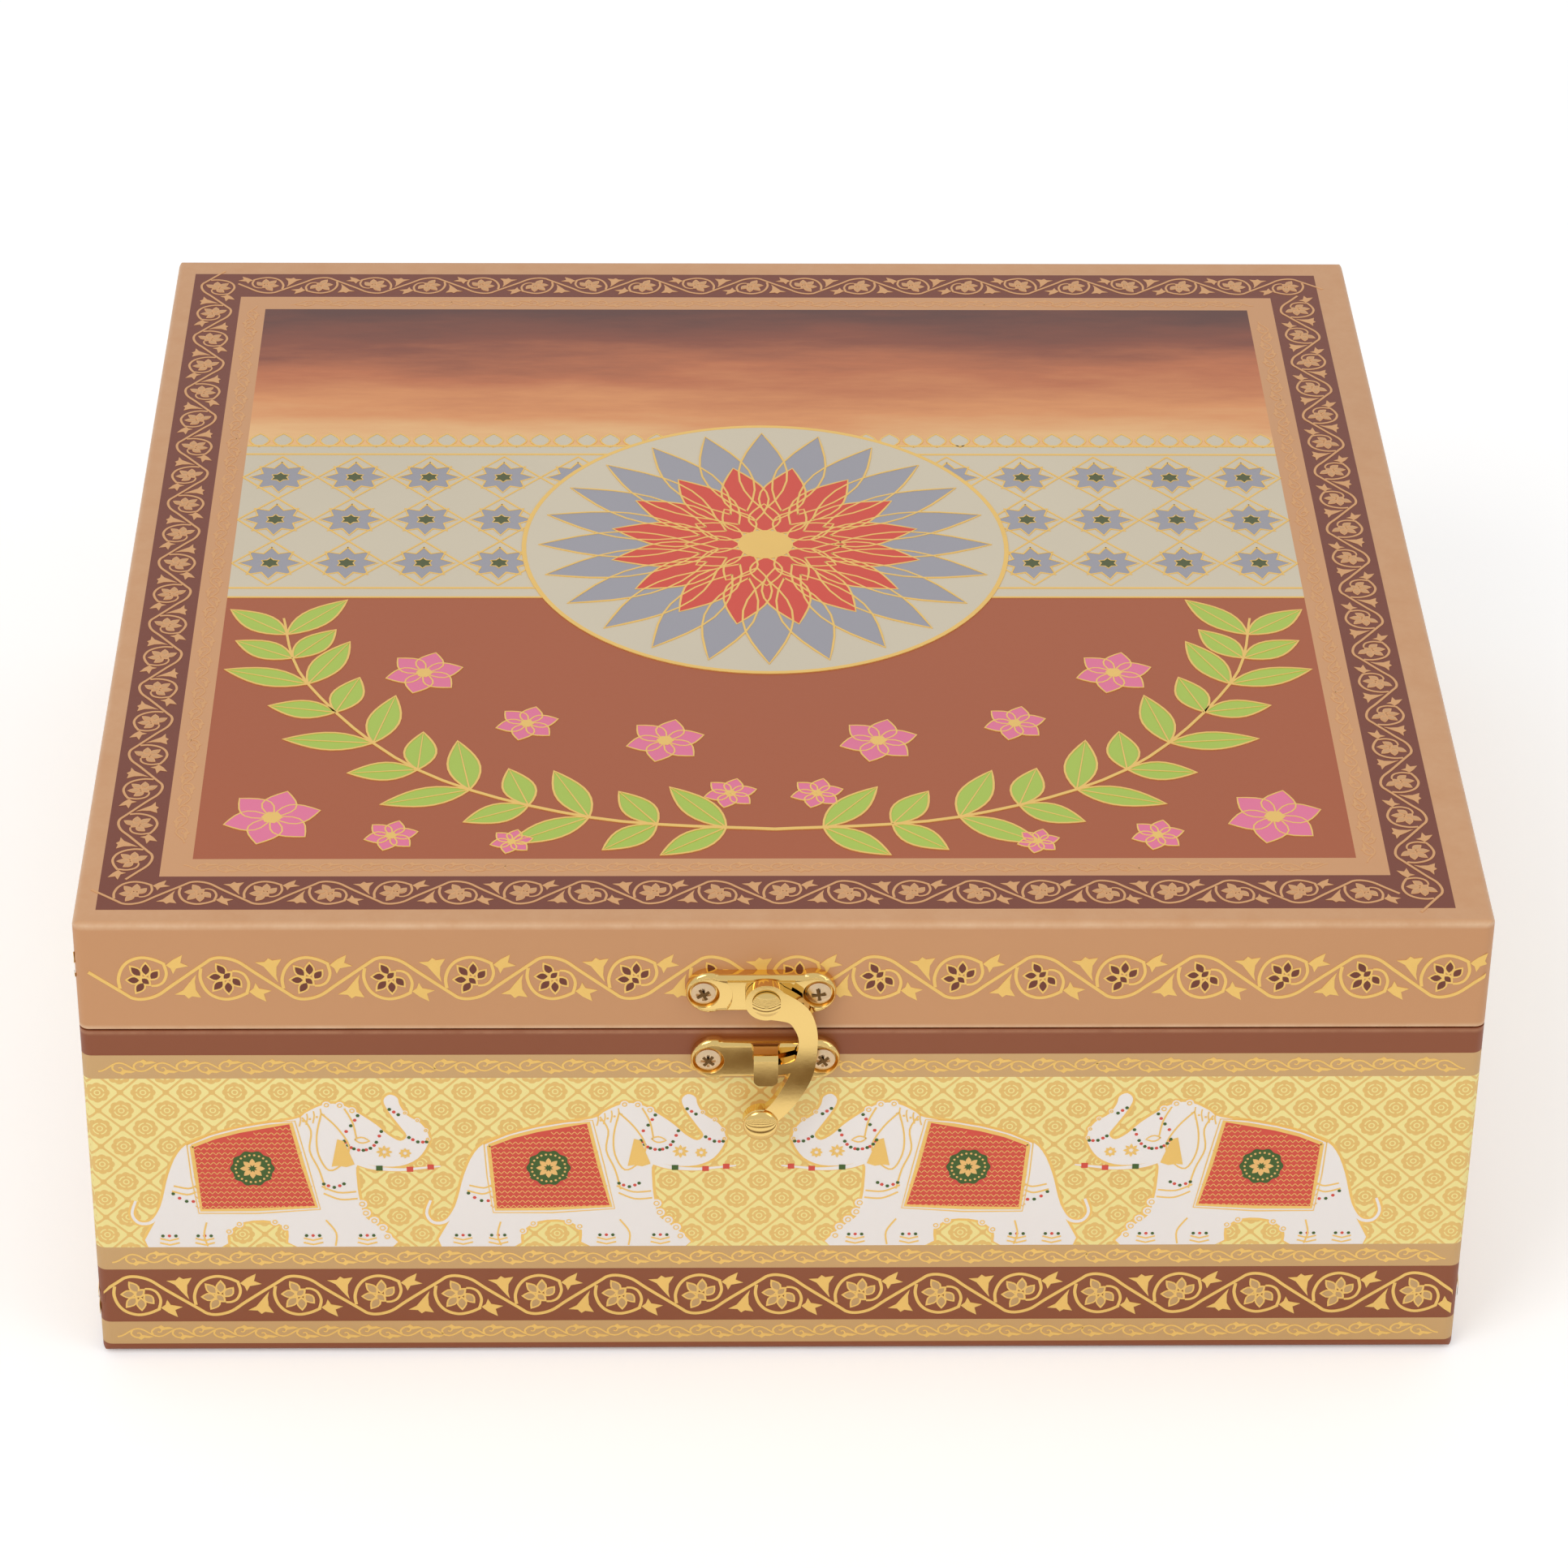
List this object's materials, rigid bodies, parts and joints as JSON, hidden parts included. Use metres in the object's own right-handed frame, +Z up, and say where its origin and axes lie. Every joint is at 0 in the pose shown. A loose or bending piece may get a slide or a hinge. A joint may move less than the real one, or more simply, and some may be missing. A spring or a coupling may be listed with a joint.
{
  "type": "mithai sweet box",
  "caption": "Square paper-wrapped board sweet box with a hinged lid, a swing-hook clasp, butt hinges and halved dividers inside.",
  "frame": {"origin": "middle of the underside, where the box rests on a table", "axes": "+Z up, -Y towards the front with the clasp, +X to the right seen from the front"},
  "size_m": [0.254, 0.2644, 0.098],
  "materials": {
    "board": "raw fibreboard, matt",
    "lid_paper": "satin printed paper, tan",
    "base_paper": "satin printed paper with bands",
    "bottom_paper": "plain grey paper, matt",
    "lining_paper": "cream paper on card, matt",
    "divider_card": "brown paper on card, matt",
    "gilt_metal": "polished gold-coloured plating",
    "gilt_screw": "satin gold-coloured plating"
  },
  "bodies": {
    "base": {"base_floor": "board", "base_front_wall": "board", "base_back_wall": "board", "base_left_wall": "board", "base_right_wall": "board", "base_wrap": "base_paper", "base_sheet": "bottom_paper", "base_wall_lining": "lining_paper", "base_floor_lining": "lining_paper", "divider_front": "divider_card", "divider_back": "divider_card", "divider_left": "divider_card", "divider_right": "divider_card", "catch_plate": "gilt_metal", "catch_screws": "gilt_screw", "hinge_base_leaf_left": "gilt_metal", "hinge_base_leaf_right": "gilt_metal", "hinge_pin_left": "gilt_metal", "hinge_pin_right": "gilt_metal", "hinge_base_screws": "gilt_screw"},
    "lid": {"lid_top": "board", "lid_front_wall": "board", "lid_back_wall": "board", "lid_left_wall": "board", "lid_right_wall": "board", "lid_wrap": "lid_paper", "lid_wall_lining": "lining_paper", "lid_top_lining": "lining_paper", "latch_plate": "gilt_metal", "latch_screws": "gilt_screw", "hook_rivet": "gilt_metal", "hinge_lid_leaf_left": "gilt_metal", "hinge_lid_leaf_right": "gilt_metal", "hinge_lid_screws": "gilt_screw"},
    "hook": {"hook_arm": "gilt_metal"}
  },
  "joints": [
    {"name": "lid_hinge", "type": "hinge", "parent": "base", "child": "lid", "pos_m": [0, 0.12908, 0.0749], "axis": [-1, 0, 0], "range_deg": [0, 180]},
    {"name": "hook_swing", "type": "hinge", "parent": "lid", "child": "hook", "pos_m": [-0.0034, -0.13095, 0.08405], "axis": [0, -1, 0], "range_deg": [-8, 120]}
  ]
}
